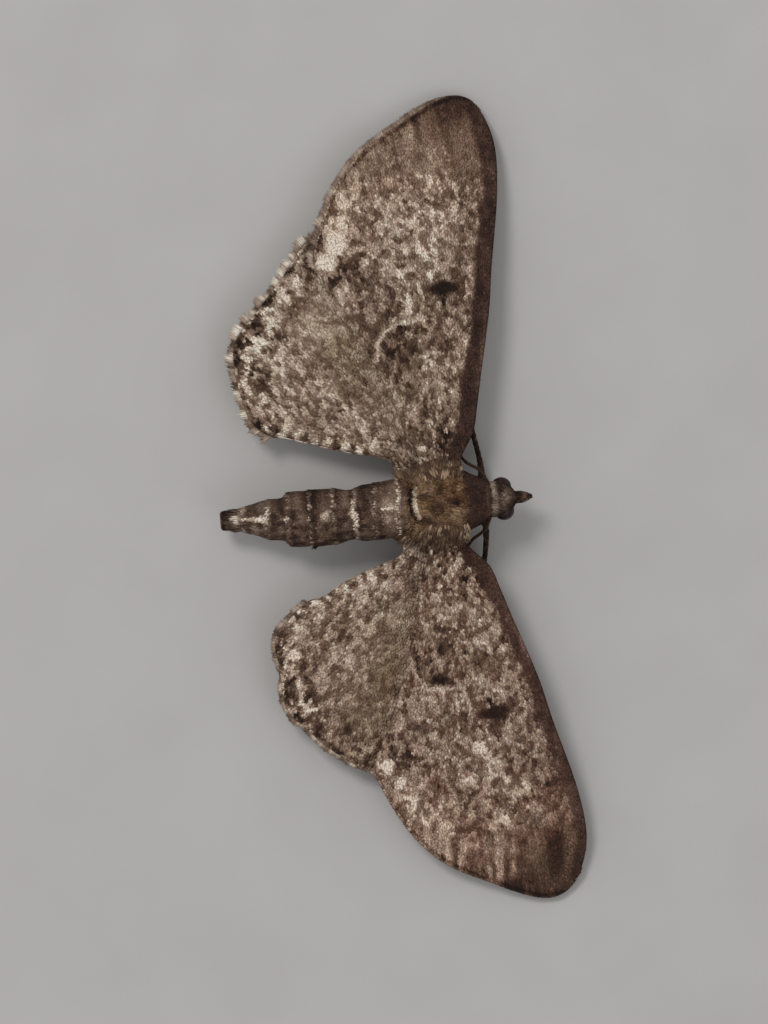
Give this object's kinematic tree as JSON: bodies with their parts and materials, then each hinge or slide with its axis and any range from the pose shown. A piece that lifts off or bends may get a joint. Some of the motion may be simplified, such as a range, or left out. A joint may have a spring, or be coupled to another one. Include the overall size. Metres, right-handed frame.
{
  "type": "pug moth",
  "caption": "Life-size still model of a small grey-brown pug moth at rest on a flat surface, wings spread flat, feelers tucked back under the wings",
  "frame": {"origin": "on the floor under the middle of the bounding box", "axes": "head toward -Y, the moth's left side +X, back up +Z; the feet stand on Z = 0"},
  "size_m": [0.0212, 0.0088, 0.0024],
  "materials": {
    "forewing_scales": "dry overlapping wing scales, grey-brown finely mottled with dark brown and cream",
    "hindwing_scales": "dry overlapping wing scales, paler grey-brown with a chequered fringe",
    "thorax_scales": "shaggy olive-brown scales",
    "abdomen_scales": "flat-lying dark brown scales with pale hind edges to the segments",
    "head_scales": "short grey-brown scales",
    "antenna": "thin ringed feeler, finely scaled",
    "leg": "dark brown scales with paler joints",
    "eye": "glossy dark compound eye"
  },
  "bodies": {
    "root": {"abdomen": "abdomen_scales", "antenna_left": "antenna", "antenna_right": "antenna", "eye_left": "eye", "eye_right": "eye", "foreleg_left": "leg", "foreleg_right": "leg", "forewing_left": "forewing_scales", "forewing_right": "forewing_scales", "head": "head_scales", "hindleg_left": "leg", "hindleg_right": "leg", "hindwing_left": "hindwing_scales", "hindwing_right": "hindwing_scales", "midleg_left": "leg", "midleg_right": "leg", "palps": "head_scales", "thorax": "thorax_scales"}
  },
  "joints": []
}
